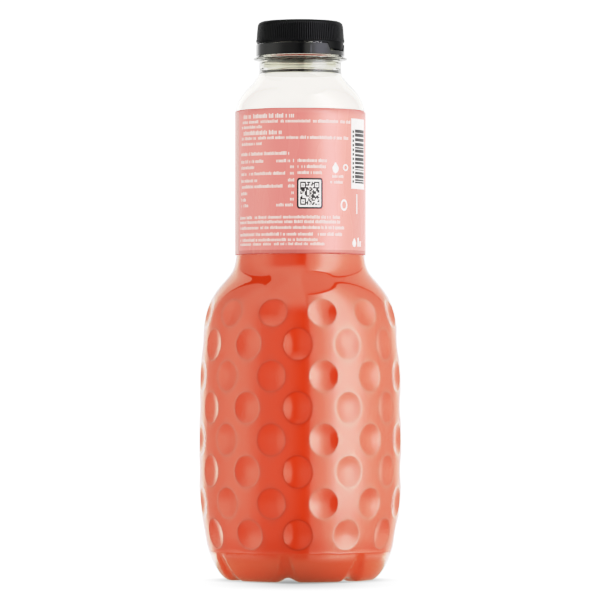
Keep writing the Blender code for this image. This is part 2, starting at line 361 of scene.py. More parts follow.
def dimple_grid(row, inset, border, rings):
    """A dimple of one row at the front: rings from its centre over its rim out to its cell's border.

    Each point of the plain body is pressed in, along its outward direction, by the inset and by the larger of
    the dish's depth and nothing. Returns the points, and a bell over the rim at each, which paints shade into
    the drink and a highlight into the wall's gloss.
    """
    inner_rings, edge_rings, outer_rings = rings
    rounding = sizes().rim_round / MM
    middle = DIMPLE_ROWS[row]
    radius = np.interp(middle, BODY_HEIGHTS, BODY_RADII)
    flat_border = np.stack((border[:, 0] * radius, border[:, 1] - middle), axis=-1)
    direction = flat_border / np.linalg.norm(flat_border, axis=1, keepdims=True)
    near = rim_distance(direction, radius, middle)
    rim = near[:, None]
    inner = np.linspace(0, 1, inner_rings, endpoint=False) ** RING_SPREAD
    inner = [direction * np.minimum(rim * share, rim - rounding) for share in inner]
    edge = [direction * (rim + rounding * side) for side in np.linspace(-1, 1, edge_rings)]
    outer = [edge[-1] + (flat_border - edge[-1]) * share for share in np.linspace(0, 1, outer_rings + 1)[1:]]
    flat = np.stack(inner + edge + outer)
    distance = np.linalg.norm(flat, axis=-1)
    points, outwards = body_surface(flat[..., 0] / radius, flat[..., 1] + middle)
    pressed = soft_max(dish_depth(distance / near), rounding * DISH_SLOPE * DISH_SOFTNESS)
    pressed[-1] = 0.0
    # A bell over the rim, for painted shade in the drink and a painted highlight in the wall's gloss.
    painted_light_bell = np.exp(-(((distance - near) / rounding) ** 2))
    return points - outwards * (pressed + inset)[..., None], painted_light_bell


def add_dimples(work, inset, fine, bottom_fine, top_fine, rings, flip=False):
    """The dimpled zone: each row's dimple, turned to every place in its row."""
    for row in range(len(DIMPLE_ROWS)):
        points, painted_light_bell = dimple_grid(row, inset, cell_border(row, fine, bottom_fine, top_fine), rings)
        for column in range(DIMPLES_ROUND):
            turn = FIRST_TURN + (column + 0.5 * (row % 2)) * DIMPLE_STEP
            cosine, sine = math.cos(turn), math.sin(turn)
            spin = np.array(((cosine, sine, 0), (-sine, cosine, 0), (0, 0, 1)))
            work.add_grid(points @ spin, flip=not flip, painted_light_bell=painted_light_bell)


def even_turns(count):
    """Turns at equal steps round the bottle, from a dimple's middle."""
    return FIRST_TURN + np.linspace(0, 2 * math.pi, count, endpoint=False)


def add_lathe(work, outline, count, flip=False, kind=0):
    """The outline's points turned round the axis."""
    outline = np.asarray(outline, float)
    points = cylinder_points(outline[:, 0, None], even_turns(count)[None, :], outline[:, 1, None])
    work.add_grid(points, flip=flip, kind=kind)


def moved_in(outline, inset):
    """The outline moved in by the inset, square to its own direction."""
    outline = np.asarray(outline, float)
    along = np.gradient(outline, axis=0)
    along /= np.linalg.norm(along, axis=1, keepdims=True)
    return outline + np.stack((-along[:, 1], along[:, 0]), axis=-1) * inset


def add_feet(work, inset, count, steps, flip=False):
    """Seven feet and their valleys.

    Along each column the surface is the foot's outline, moved towards the valley's by a share that is 1 in
    a valley's middle and 0 beyond its half width. The share is a raised cosine under the bottle, and a
    crisp edged 1 - t^4 on the wall, where the valley gets narrow. Below the top row the columns are drawn
    towards the valleys by a sine of their turn from them. The outer skin gets a bell along their edges on the
    wall: a painted highlight, which makes the wall's gloss stronger there.
    """
    foot = smooth_through(FOOT_OUTLINE, steps)
    valley = smooth_through(VALLEY_OUTLINE, steps)
    foot[:, 1] = np.maximum(foot[:, 1], 0.0)
    turns = even_turns(count)
    pitch = 2 * math.pi / FEET
    knot = np.arange(len(foot))[:, None] / steps
    drawn = VALLEY_DRAW * np.clip((knot[-1] - knot) / VALLEY_DRAW_FADE, 0, 1)
    turns = turns - drawn * pitch / (2 * math.pi) * np.sin((turns - FIRST_VALLEY) * FEET)
    aside = np.abs((turns - FIRST_VALLEY + pitch / 2) % pitch - pitch / 2)
    on_wall = np.clip((knot - WALL_START) / WALL_SPAN, 0, 1)
    half = VALLEY_HALF + (VALLEY_WALL_HALF - VALLEY_HALF) * np.sqrt(on_wall)
    part = np.clip(aside / half, 0, 1)
    soft, crisp = 0.5 + 0.5 * np.cos(math.pi * part), 1 - part**4
    share = soft + (crisp - soft) * np.clip(on_wall * CRISP_RATE, 0, 1)
    foot, valley = moved_in(foot, inset), moved_in(valley, inset)
    edge, outwards = body_surface(0.0, BASE_TOP)
    foot[-1] = valley[-1] = (edge - outwards * inset)[1:] * (-1, 1)
    foot[0, 0] = valley[0, 0] = 0.0
    foot[0, 1] = valley[0, 1] = FOOT_OUTLINE[0][1] + inset
    radius = foot[:, 0, None] + (valley - foot)[:, 0, None] * share
    height = foot[:, 1, None] + (valley - foot)[:, 1, None] * share
    # Painted highlight: a bell along the valley edges that strengthens the outer wall's gloss; the drink gets
    # none.
    crest_highlight = CREST_PAINTED_HIGHLIGHT * np.exp(-(((part - CREST_PLACE) / CREST_HALF) ** 2)) * np.clip(on_wall * 2, 0, 1)
    painted_light_bell = crest_highlight if inset == 0 else 0.0
    work.add_grid(cylinder_points(radius, turns, height), flip=flip, painted_light_bell=painted_light_bell)


def add_parting_zone(work, inset, count, flip=False):
    """The narrow zone between feet and dimples, with the parting ridge: a bell over the plain body."""
    heights = np.r_[BASE_TOP, PARTING_ROWS, DIMPLED_BOTTOM]
    heights = heights if inset == 0 else heights[[0, -1]]
    points, outwards = body_surface(even_turns(count)[None, :], heights[:, None])
    ridge = PARTING_RELIEF * np.exp(-(((heights - PARTING_HEIGHT) / PARTING_HALF) ** 2))
    ridge[[0, -1]] = 0.0
    work.add_grid(points + outwards * (ridge - inset)[:, None, None], flip=flip)


def waist_outline(inset, step):
    """The outline from the dimples up to the panel, moved in by the inset."""
    heights = np.arange(DIMPLED_TOP, PANEL_BOTTOM, step)
    heights = np.r_[heights, PANEL_BOTTOM]
    radius = np.interp(heights, BODY_HEIGHTS, BODY_RADII)
    lean = -np.arctan(np.interp(heights, BODY_HEIGHTS, BODY_SLOPES))
    return np.stack((radius - np.cos(lean) * inset, heights - np.sin(lean) * inset), axis=-1)


def add_body(work, inset, fine, bottom_fine, waist_step, rings, flip=False):
    """The whole body from its middle to the panel's lower edge. Returns the last point of its outline."""
    bottom_count = 2 * bottom_fine * DIMPLES_ROUND
    add_feet(work, inset, bottom_count, 2, flip)
    add_parting_zone(work, inset, bottom_count, flip)
    add_dimples(work, inset, fine, bottom_fine, WAIST_COUNT // DIMPLES_ROUND // 2, rings, flip)
    waist = waist_outline(inset, waist_step)
    add_lathe(work, waist, WAIST_COUNT, flip)
    return waist[-1]


# Materials

WHITE = (1.0, 1.0, 1.0)
# The wall over the drink: how much it bends light, its gloss face on and far aside, where it goes from one
# to the other, and how much stronger it is on a rim and a valley's edge, as a painted highlight.
WALL_BENDING = 1.57
WALL_GLOSS = (0.80, 0.80, 0.585)
WALL_GRAZING_GLOSS = (0.80, 0.80, 0.78)
WALL_GRAZING = (0.52, 0.90, 0.0, 1.0)
WALL_ROUGHNESS = 0.02
RIM_PAINTED_HIGHLIGHT = 0.45
CLEAR_GLOSS_TINT = (1.0, 1.0, 0.84)
THIN_WALL_BENDING = 1.38
NECK_BENDING = 1.5
# The painted shade line in the drink round a dimple, and the gloss of the black plastic and of the film.
RIM_PAINTED_SHADE = (0.66, 0.60, 0.62)
BLACK_GLOSS_TINT = (1.0, 0.99, 0.92)
CAP_FACING = (0.08, 0.45)
TOP_FACE = (0.8, 0.98, 0.0, 1.0)
TOP_FACE_ROUGHNESS = 0.5
FILM_GLOSS_TINT = (1.0, 1.0, 0.80)
FILM_FACING = (0.50, 0.76, 0.40, 0.06)


class Net:
    """The nodes of a material or of the world, with short ways to add and join them.

    An input is given as a number, a colour, or the socket that feeds it. A soft step is given as where it
    starts and ends, and its values there.
    """

    def __init__(self, tree):
        self.nodes = tree.nodes
        self.links = tree.links

    def fill(self, node, inputs):
        """Fills a node's inputs, each by its name or number."""
        for name, value in dict(inputs).items():
            socket = node.inputs[name]
            if isinstance(value, bpy.types.NodeSocket):
                self.links.new(value, socket)
            elif isinstance(value, (int, float)):
                socket.default_value = value
            else:
                socket.default_value = (*value, 1) if len(socket.default_value) == 4 else value
        return node

    def node(self, kind, inputs=(), **settings):
        """A new node of a kind, with its settings made first and its inputs filled after."""
        node = self.nodes.new("ShaderNode" + kind)
        for name, value in settings.items():
            setattr(node, name, value)
        return self.fill(node, inputs)

    def math(self, operation, *values, clamp=False):
        """Arithmetic on numbers and sockets."""
        return self.node("Math", enumerate(values), operation=operation, use_clamp=clamp).outputs["Value"]

    def times(self, first, second):
        """The product of two numbers."""
        return self.math("MULTIPLY", first, second)

    def mixed(self, share, first, second, **settings):
        """A blend of two numbers by a share."""
        return self.node("Mix", {"Factor": share, "A": first, "B": second}, **settings).outputs["Result"]

    def mixed_colour(self, share, first, second, blend="MIX"):
        """A blend of two colours by a share."""
        return self.mixed(share, first, second, data_type="RGBA", blend_type=blend)

    def step(self, value, start, end, low, high):
        """A soft step from low to high between two values of a socket."""
        ends = {"Value": value, "From Min": start, "From Max": end, "To Min": low, "To Max": high}
        return self.node("MapRange", ends, interpolation_type="SMOOTHSTEP").outputs["Result"]

    def parts(self, vector):
        """A vector's X, Y and Z."""
        return tuple(self.node("SeparateXYZ", {0: vector}).outputs)

    def facing(self):
        """How far a face is turned aside: 0 face on, 1 edge on."""
        return self.node("LayerWeight").outputs["Facing"]

    def rim(self):
        """The piece's own bell over its rims and valley edges, which paints shade and highlight."""
        return self.node("Attribute", attribute_name="rim").outputs["Fac"]

    def noise(self, scale, detail=2.0, stretch=None):
        """A noise over the piece's own coordinates, which may be stretched."""
        place = self.node("TexCoord").outputs["Object"]
        if stretch is not None:
            place = self.node("Mapping", {"Vector": place, "Scale": stretch}).outputs["Vector"]
        return self.node("TexNoise", {"Vector": place, "Scale": scale, "Detail": detail}).outputs["Fac"]

    def varied_colour(self, factor, colour, spread):
        """A colour that a noise takes between a darker and a lighter version of itself."""
        ramp = self.node("ValToRGB", {"Fac": factor})
        dark, light = ramp.color_ramp.elements
        dark.position, light.position = 0.3, 0.7
        dark.color = (*[share * (1 - spread) for share in colour], 1)
        light.color = (*[min(share * (1 + spread), 1) for share in colour], 1)
        return ramp.outputs["Color"]

    def varied(self, factor, low, high):
        """A number that a noise takes between two values."""
        return self.node("MapRange", {"Value": factor, "To Min": low, "To Max": high}).outputs["Result"]

    def bump(self, factor, distance, strength):
        """The direction of a surface whose height follows a noise."""
        inputs = {"Height": factor, "Distance": distance, "Strength": strength}
        return self.node("Bump", inputs).outputs["Normal"]

    def end_in(self, share, first, second):
        """Ends the material in a mix of two nodes' shaders."""
        mix = self.node("MixShader", {0: share, 1: first.outputs[0], 2: second.outputs[0]})
        self.fill(self.nodes["Material Output"], {"Surface": mix.outputs[0]})


def new_material(name, keep_shader=True):
    """A new material, its net, and its shader unless other nodes take its place."""
    material = bpy.data.materials.new(name)
    material.use_nodes = True
    net = Net(material.node_tree)
    shader = net.nodes["Principled BSDF"]
    if not keep_shader:
        net.nodes.remove(shader)
        shader = None
    return material, net, shader


def filled_wall_material():
    """The wall where the drink touches it: a clear skin that only shows its outer gloss, warmer face on."""
    material, net, _ = new_material("wall over drink", keep_shader=False)
    fresnel = net.node("Fresnel", {"IOR": WALL_BENDING}).outputs["Fac"]
    # Painted highlight: the gloss is made stronger along the bell over rims and valley edges.
    share = net.math("MULTIPLY", fresnel, net.math("MULTIPLY_ADD", net.rim(), RIM_PAINTED_HIGHLIGHT, 1.0), clamp=True)
    front = net.math("SUBTRACT", 1.0, net.node("NewGeometry").outputs["Backfacing"])
    tint = net.mixed_colour(net.step(net.facing(), *WALL_GRAZING), WALL_GLOSS, WALL_GRAZING_GLOSS)
    gloss = net.node("BsdfGlossy", {"Color": tint, "Roughness": WALL_ROUGHNESS})
    net.end_in(net.times(share, front), net.node("BsdfTransparent"), gloss)
    return material


def clear_wall_material(name, colour, bending):
    """Clear plastic that bends what is seen through it."""
    material, net, shader = new_material(name)
    net.fill(shader, {
        "Base Color": colour, "Transmission Weight": 1.0, "IOR": bending, "Specular Tint": CLEAR_GLOSS_TINT,
        "Roughness": 0.015, "Normal": net.bump(net.noise(scale=90.0), distance=0.00012, strength=0.35),
    })
    return material


def drink_material():
    """Cloudy juice: faint clouds, a thin line of painted shade round each dimple, and no gloss of its own."""
    material, net, shader = new_material("cloudy juice")
    clouds = net.varied_colour(net.noise(scale=35.0, detail=3.0), colours().drink, spread=0.035)
    # Painted shade: the rim bell darkens the juice's colour in a thin line round each dimple.
    colour = net.mixed_colour(net.rim(), clouds, RIM_PAINTED_SHADE, "MULTIPLY")
    net.fill(shader, {"Base Color": colour, "Specular IOR Level": 0.0, "Roughness": 0.9})
    return material


def plastic_material(name, low, high, gloss, side_gloss=None):
    """Moulded black plastic with a fine uneven gloss, maybe weaker at its far sides, and a matt top."""
    material, net, shader = new_material(name)
    if side_gloss is not None:
        gloss = net.step(net.facing(), *CAP_FACING, gloss, side_gloss)
    grain = net.noise(scale=700.0, detail=4.0)
    _, _, upwards = net.parts(net.node("NewGeometry").outputs["Normal"])
    roughness = net.mixed(net.step(upwards, *TOP_FACE), net.varied(grain, low, high), TOP_FACE_ROUGHNESS)
    net.fill(shader, {
        "Base Color": net.varied_colour(grain, colours().black, spread=0.12),
        "Specular Tint": BLACK_GLOSS_TINT, "Specular IOR Level": gloss, "Roughness": roughness,
        "Normal": net.bump(grain, distance=0.00002, strength=0.4),
    })
    return material


def film_material(name, colour):
    """Printed film with faint long ripples, as a wound sleeve has, and less gloss at its far sides."""
    material, net, shader = new_material(name)
    ripples = net.noise(scale=110.0, stretch=(1.0, 1.0, 0.18))
    net.fill(shader, {
        "Base Color": net.varied_colour(ripples, colour, spread=0.02), "Specular Tint": FILM_GLOSS_TINT,
        "Specular IOR Level": net.step(net.facing(), *FILM_FACING),
        "Roughness": net.varied(ripples, low=0.22, high=0.32),
        "Normal": net.bump(ripples, distance=0.00006, strength=0.6),
    })
    return material


def ink_material(name, colour):
    """Print on the film: nearly matt, with a faint unevenness."""
    material, net, shader = new_material(name)
    grain = net.noise(scale=300.0, detail=3.0)
    net.fill(shader, {
        "Base Color": net.varied_colour(grain, colour, spread=0.04), "Specular IOR Level": 0.22,
        "Roughness": net.varied(grain, low=0.3, high=0.45),
    })
    return material


def ride(piece, slot, *nodes):
    """Says what a piece belongs to: the one body, and the solids it stands for, which it hides. Its slot is
    not used.
    """
    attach(piece, "root")
    for node in nodes:
        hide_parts(node)


# The pieces

class BOTTLE_OT_wall(bpy.types.Operator):
    """Make the clear bottle: its dimpled body, feet, shoulder, support ring and neck, inside and outside"""

    bl_idname = "bottle.wall"
    bl_label = "Clear bottle"

    def execute(self, context):
        wall = sizes().wall / MM
        work = Patchwork()
        add_body(work, 0.0, **OUTSIDE)
        inner_low = add_body(work, wall, **INSIDE, flip=True)
        outer_panel, inner_panel = (PANEL_RADIUS, PANEL_HIDDEN), (PANEL_RADIUS - wall, PANEL_HIDDEN)
        add_lathe(work, ((PANEL_RADIUS, PANEL_BOTTOM), outer_panel), WAIST_COUNT)
        add_lathe(work, (inner_low, inner_panel), WAIST_COUNT, flip=True)
        shoulder = smooth_through(SHOULDER_OUTLINE, 4)
        lining = moved_in(shoulder, wall)
        lining = lining[lining[:, 1] < LINING_TOP]
        neck = smooth_through(NECK_OUTLINE, 3)
        inside = smooth_through(NECK_INSIDE_OUTLINE, 3)
        add_lathe(work, np.concatenate(((outer_panel,), shoulder)), WAIST_COUNT, kind=1)
        add_lathe(work, np.concatenate((shoulder[-1:], neck, inside)), WAIST_COUNT, kind=2)
        add_lathe(work, np.concatenate((inside[-1:], lining[::-1], (inner_panel,))), WAIST_COUNT, kind=1)
        materials = (
            filled_wall_material(),
            clear_wall_material("clear wall", colours().plastic, THIN_WALL_BENDING),
            clear_wall_material("thick clear neck", colours().thick_plastic, NECK_BENDING),
        )
        piece = work.build("clear_bottle", materials)
        ride(piece, "clear_plastic", "bottle")
        return {"FINISHED"}


class BOTTLE_OT_drink(bpy.types.Operator):
    """Make the juice, which reaches just into the wall and up to the top of the label"""

    bl_idname = "bottle.drink"
    bl_label = "Juice"

    def execute(self, context):
        inset = sizes().drink_inset / MM
        work = Patchwork()
        body_end = add_body(work, inset, **DRINK_SKIN)
        edge = [(PANEL_RADIUS - inset - inwards, FILL_LEVEL - sunk) for inwards, sunk in MENISCUS]
        level = edge[-1][1]
        add_lathe(work, (body_end, *edge, (LEVEL_RING, level), (0.0, level)), WAIST_COUNT)
        piece = work.build("drink", (drink_material(),))
        ride(piece, "juice", "juice")
        return {"FINISHED"}


CAP_OUTLINE = (
    (19.9, 245.25), (19.98, 245.4), (20.1, 245.5), (19.98, 247.4), (19.84, 249.6), (19.66, 251.8),
    (19.5, 253.0), (19.22, 253.9), (18.75, 254.5), (18.0, 254.9), (17.2, 255.06), (14.0, 255.1),
    (6.0, 255.1), (0.0, 255.1),
)
RIBS = 120
RIB_DEPTH = 0.5
# Columns across a rib as shares of its pitch from the middle of the groove, and how deep each lies there.
RIB_COLUMNS = np.array((-0.5, -0.27, -0.21, -0.11, 0.0, 0.11, 0.21, 0.27))
RIB_GROOVE = np.array((0.0, 0.0, 0.12, 0.72, 1.0, 0.72, 0.12, 0.0))
RIB_BOTTOM = 245.45
RIB_BOTTOM_FADE = 0.35
RIB_TOP = 254.2
RIB_TOP_FADE = 1.6
HEM_RADIUS = 19.9
HEM_TOP = 245.25
HEM_BOTTOM = 244.8
TAB_BOTTOM = 241.6
CAP_INSIDE_RADIUS = 18.6
CAP_INSIDE_TOP = 253.3
NOTCH = np.array((37.5, 43.5, 76.5, 82.5))
NOTCH_GAP = 1.0

BAND_RADIUS = 20.2
BAND_INSIDE_RADIUS = 19.2
BAND_BOTTOM = 239.3
BAND_TOP = 244.4
NOTCH_BOTTOM = 241.2
BAND_COUNT = 720
# Rows of the band as shares of its height, and how far in each lies.
BAND_ROWS = np.array((
    (0.0, 0.12), (0.03, 0.03), (0.08, 0.0), (0.3, 0.0), (0.45, 0.0), (0.52, 0.0), (0.6, 0.0), (0.8, 0.0),
    (0.93, 0.0), (0.97, 0.03), (1.0, 0.12),
))
# The sunk plate beside the notch: the turn in degrees where it starts and how fast it goes in, where it ends
# and how fast it comes out, then how deep it lies, and where up the band it ends.
PLATE = (13.5, 1.2, 36.0, 1.2)
PLATE_DEPTH = 0.16
PLATE_END = 0.45
PLATE_END_FADE = 0.5


def notch_level(turn, corners, level, low_level):
    """An edge at one level that goes down by a smooth ramp to a lower one between the notch's corners."""
    degrees = np.degrees(turn) % 360
    first, second, third, fourth = corners
    down = np.clip((degrees - first) / (second - first), 0, 1)
    up = np.clip((degrees - third) / (fourth - third), 0, 1)
    share = down**2 * (3 - 2 * down) - up**2 * (3 - 2 * up)
    return level + (low_level - level) * share


def ramps(turns, start, rise, end, fall):
    """Two shares by turn in degrees: one that goes up from the start, and one that goes down to the end."""
    degrees = (np.degrees(turns) + 180) % 360 - 180
    return np.clip((degrees - start) / rise, 0, 1), np.clip((end - degrees) / fall, 0, 1)


class BOTTLE_OT_cap(bpy.types.Operator):
    """Make the ribbed screw cap with the tab that reaches into the band"""

    bl_idname = "bottle.cap"
    bl_label = "Cap"

    def execute(self, context):
        turns = (FIRST_TURN + np.add.outer(np.arange(RIBS), RIB_COLUMNS) * 2 * math.pi / RIBS).reshape(1, -1)
        outline = smooth_through(CAP_OUTLINE, 4)
        radius, height = outline[:, 0, None], outline[:, 1, None]
        ribbed = np.clip((height - RIB_BOTTOM) / RIB_BOTTOM_FADE, 0, 1)
        ribbed = ribbed * np.clip((RIB_TOP - height) / RIB_TOP_FADE, 0, 1)
        work = Patchwork()
        work.add_grid(cylinder_points(radius - RIB_DEPTH * ribbed * np.tile(RIB_GROOVE, RIBS), turns, height))
        low = notch_level(turns, NOTCH + NOTCH_GAP * np.array((1, 1, -1, -1)), HEM_BOTTOM, TAB_BOTTOM)
        hem = low + (HEM_TOP - low) * np.linspace(0, 1, 5)[:, None]
        outer = cylinder_points(HEM_RADIUS, turns, hem)
        work.add_grid(outer)
        inner_low = cylinder_points(CAP_INSIDE_RADIUS, turns, low)
        inner_top = cylinder_points(CAP_INSIDE_RADIUS, turns, CAP_INSIDE_TOP)
        middle = cylinder_points(0.0, turns, CAP_INSIDE_TOP)
        work.add_grid(np.concatenate((outer[:1], inner_low, inner_top, middle)), flip=True)
        material = plastic_material("cap plastic", low=0.08, high=0.13, gloss=0.06, side_gloss=0.010)
        piece = work.build("screw_cap", (material,))
        ride(piece, "black_plastic", "cap")
        return {"FINISHED"}


class BOTTLE_OT_band(bpy.types.Operator):
    """Make the tamper band with its notch and its sunk plate"""

    bl_idname = "bottle.band"
    bl_label = "Tamper band"

    def execute(self, context):
        turns = even_turns(BAND_COUNT)[None, :]
        high = notch_level(turns, NOTCH, BAND_TOP, NOTCH_BOTTOM)
        up, down = ramps(turns, *PLATE)
        part, edge = BAND_ROWS.T[:, :, None]
        sunk = PLATE_DEPTH * up * down * (1 - np.clip((part - PLATE_END) / PLATE_END_FADE, 0, 1))
        outer = cylinder_points(BAND_RADIUS - edge - sunk, turns, BAND_BOTTOM + (high - BAND_BOTTOM) * part)
        inner_high = cylinder_points(BAND_INSIDE_RADIUS, turns, high)
        inner_low = cylinder_points(BAND_INSIDE_RADIUS, turns, BAND_BOTTOM)
        work = Patchwork()
        work.add_grid(outer)
        work.add_grid(np.concatenate((outer[-1:], inner_high, inner_low, outer[:1])))
        material = plastic_material("band plastic", low=0.10, high=0.18, gloss=0.14)
        piece = work.build("tamper_band_ring", (material,))
        ride(piece, "band_plastic", "tamper_band")
        return {"FINISHED"}


LABEL_RADIUS = 29.86
LABEL_INSIDE_RADIUS = 29.64
LABEL_BOTTOM = 148.35
LABEL_TOP = 214.3
MARGIN_TOP = 150.05
LABEL_COUNT = 288
# The upper edge's dips: how deep, then the turn where each starts, over what turn it grows, and the same for
# its end.
RIGHT_DIP = 0.9
RIGHT_DIP_RAMPS = (44.0, 40.0, 110.0, 20.0)
LEFT_DIP = 0.5
LEFT_DIP_RAMPS = (-120.0, 30.0, -20.0, 60.0)
EDGE_WAVE = 0.15
EDGE_WAVE_START = 0.6
SEAM_PANEL = (-79.0, -68.8, LABEL_BOTTOM + 0.1, 213.4)
SEAM_RADIUS = 29.875
INK_RADIUS = 29.885
PALE_CODE_RADIUS = 29.895
TOP_INK_RADIUS = 29.91

# Lines of small print: height of the line's middle, first and last turn in degrees, height of a mark.
PRINT_LINES = (
    (210.5, -59.4, -4.8, 1.35), (208.0, -61.0, 49.5, 0.95), (205.7, -62.3, -34.7, 0.95),
    (203.0, -59.4, -16.4, 1.35), (200.6, -62.7, 46.5, 0.95), (198.1, -62.7, -35.1, 0.95),
    (193.5, -63.6, -8.8, 1.05), (190.1, -63.6, -33.2, 1.0), (190.1, -21.3, -5.2, 1.0),
    (187.4, -63.6, -43.9, 1.0), (187.4, -8.9, -5.2, 1.0), (184.5, -63.6, -13.1, 1.0),
    (184.5, -8.9, -5.2, 1.0), (181.4, -63.6, -40.7, 1.0), (181.4, -10.7, -5.2, 1.0),
    (178.7, -63.6, -15.6, 1.0), (178.7, -10.7, -5.2, 1.0), (175.7, -63.6, -53.6, 1.0),
    (175.7, -8.9, -5.2, 1.0), (172.8, -63.6, -55.6, 1.0), (172.8, -8.9, -5.2, 1.0),
    (170.2, -63.6, -52.3, 1.0), (170.2, -21.3, -6.7, 1.0), (190.2, -2.4, 24.5, 1.0),
    (187.5, -2.4, 23.3, 1.0), (184.8, -2.4, 19.5, 1.0), (183.2, 29.0, 41.4, 0.8), (180.6, 27.1, 40.2, 0.8),
    (164.7, -65.5, 36.9, 0.95), (162.6, -65.5, 36.9, 0.95), (160.0, -65.5, 41.4, 0.95),
    (157.0, -65.5, 39.1, 0.95), (154.5, -65.5, 15.5, 0.95), (152.6, -65.5, 21.6, 0.85),
)
# Shares of a mark's height: its pitch, its ends from the line's middle, and its rise where it is taller.
# Shares of its pitch: its width, and how far before the line's end the last one starts. Then how many are
# left out or taller.
MARK_PITCH = 0.60
MARK_BELOW = 0.64
MARK_ABOVE = 0.58
MARK_RISE = 0.30
MARK_WIDTH = (0.55, 0.80)
MARK_END = 0.6
MARKS_LEFT_OUT = 0.10
MARKS_TALLER = 0.30

# Panels are first and last turn in degrees, bottom and top.
BAR_PANEL = (50.7, 76.0, 178.0, 209.8)
BARS = (56.0, 75.0, 180.1, 205.3)
BAR_WIDTHS = (0.55, 0.8, 1.2, 1.5)
BAR_GAPS = (0.3, 0.4, 0.6)
MOST_BARS = 40
BAR_MARKS = (52.2, 54.6)
BAR_MARK_PITCH = 2.05
BAR_MARK_TALL = 1.2
BAR_MARK_START = 0.6
BAR_MARK_END = 1.0
CODE_PANEL = (-3.0, 19.8, 168.5, 182.4)
CODE_FRAME = 0.8
CODE_FIELD = (-0.1, 16.8, 170.2, 180.7)
CODE_CELLS = 17
CODE_EMPTY = 0.46
CORNER_CELLS = 5
CORNER_SQUARE = np.maximum.outer(abs(np.arange(CORNER_CELLS) - 2), abs(np.arange(CORNER_CELLS) - 2)) != 1
# Round marks: turn in degrees, height, the mark's own width and height, and shares of its hole and its point.
ROUND_MARKS = (
    (32.2, 187.2, 3.3, 4.9, 0.0, 0.75), (43.3, 187.4, 3.1, 3.1, 0.62, 0.0),
    (41.5, 170.4, 3.9, 5.2, 0.66, 0.0), (55.0, 153.6, 2.9, 4.0, 0.0, 0.75),
)
BLOCKS = ((58.5, 59.7, 166.6, 175.6), (60.5, 62.5, 151.9, 155.8), (64.0, 66.5, 151.9, 154.2))
# How finely print is divided: degrees from column to column, and points round an oval.
PANEL_STEP = 0.6
OVAL_POINTS = 49


def label_top(turns):
    """The film's upper edge: level, less a dip on either side and a slow wave."""
    up, down = ramps(turns, *RIGHT_DIP_RAMPS)
    dip = RIGHT_DIP * up**2 * down
    up, down = ramps(turns, *LEFT_DIP_RAMPS)
    dip = dip + LEFT_DIP * up * down
    return LABEL_TOP - dip - EDGE_WAVE * (1 + np.sin(2 * turns + EDGE_WAVE_START))


def add_patches(work, spans, radius):
    """Small patches on the label's cylinder. Each span is first turn, last turn (degrees), bottom and top."""
    first, last, bottom, top = np.asarray(spans, float).reshape(-1, 4).T
    turn = np.radians(np.stack((first, last, last, first), axis=-1))
    height = np.stack((bottom, bottom, top, top), axis=-1)
    points = cylinder_points(radius, turn, height)
    work.add(points, np.arange(points.shape[0] * 4).reshape(-1, 4))


def add_panel(work, span, radius, corner=0.0):
    """A wide patch, bent with the label, with its corners cut back along a quarter circle."""
    first, last, bottom, top = span
    columns = np.linspace(first, last, 2 + int(abs(last - first) / PANEL_STEP))
    arc = np.minimum(columns - first, last - columns) * math.pi / 180 * radius
    cutback = corner - np.sqrt(np.maximum(corner**2 - np.maximum(corner - arc, 0) ** 2, 0))
    part = np.linspace(0, 1, 3)[:, None]
    height = bottom + cutback + (top - bottom - 2 * cutback) * part
    work.add_grid(cylinder_points(radius, np.radians(columns)[None, :], height), wrap=False)


def add_round_mark(work, turn, height, wide, tall, hole, point, radius):
    """A disc, ring or drop on the label: an oval whose upper half is drawn to a point by a share."""
    around = np.linspace(0, 2 * math.pi, OVAL_POINTS)[None, :]
    out = np.array((1.0, hole))[:, None]
    narrow = 1 - point * np.clip(np.sin(around), 0, 1)
    across = out * np.cos(around) * narrow * wide / 2
    upwards = out * np.sin(around) * tall / 2
    points = cylinder_points(radius, math.radians(turn) + across / radius, height + upwards)
    work.add_grid(points, wrap=False)


def word_marks(draw):
    """Upright marks in rows, with gaps like those between words. They spell nothing."""
    spans = []
    for middle, first, last, tall in PRINT_LINES:
        pitch = math.degrees(tall * MARK_PITCH / INK_RADIUS)
        start = np.arange(first, last - pitch * MARK_END, pitch)
        start = start[draw.random(len(start)) > MARKS_LEFT_OUT]
        rise = np.where(draw.random(len(start)) > 1 - MARKS_TALLER, MARK_RISE, 0.0) * tall
        wide = pitch * draw.uniform(*MARK_WIDTH, len(start))
        bottom = np.full(len(start), middle - tall * MARK_BELOW)
        top = middle + tall * MARK_ABOVE + rise
        spans.append(np.stack((start, start + wide, bottom, top), axis=-1))
    return np.concatenate(spans)


def code_cells(draw):
    """Spans of the dark cells of a square field: random ones, and a square ring in three corners."""
    first, last, bottom, top = CODE_FIELD
    wide, tall = (last - first) / CODE_CELLS, (top - bottom) / CODE_CELLS
    filled = draw.random((CODE_CELLS, CODE_CELLS)) > CODE_EMPTY
    far = CODE_CELLS - CORNER_CELLS
    for left, low in ((0, 0), (0, far), (far, far)):
        filled[left:left + CORNER_CELLS, low:low + CORNER_CELLS] = CORNER_SQUARE
    column, row = np.nonzero(filled)
    return np.stack((
        first + column * wide, first + (column + 1) * wide, bottom + row * tall, bottom + (row + 1) * tall,
    ), axis=-1)


def bar_spans(draw):
    """Spans of the bars: random widths and gaps, one over the other, up to the field's top."""
    first, last, bottom, top = BARS
    wide = draw.choice(BAR_WIDTHS, MOST_BARS)
    gap = draw.choice(BAR_GAPS, MOST_BARS)
    low = bottom + np.cumsum(wide + gap) - wide
    return [(first, last, low, high) for low, high in zip(low, low + wide) if high < top]


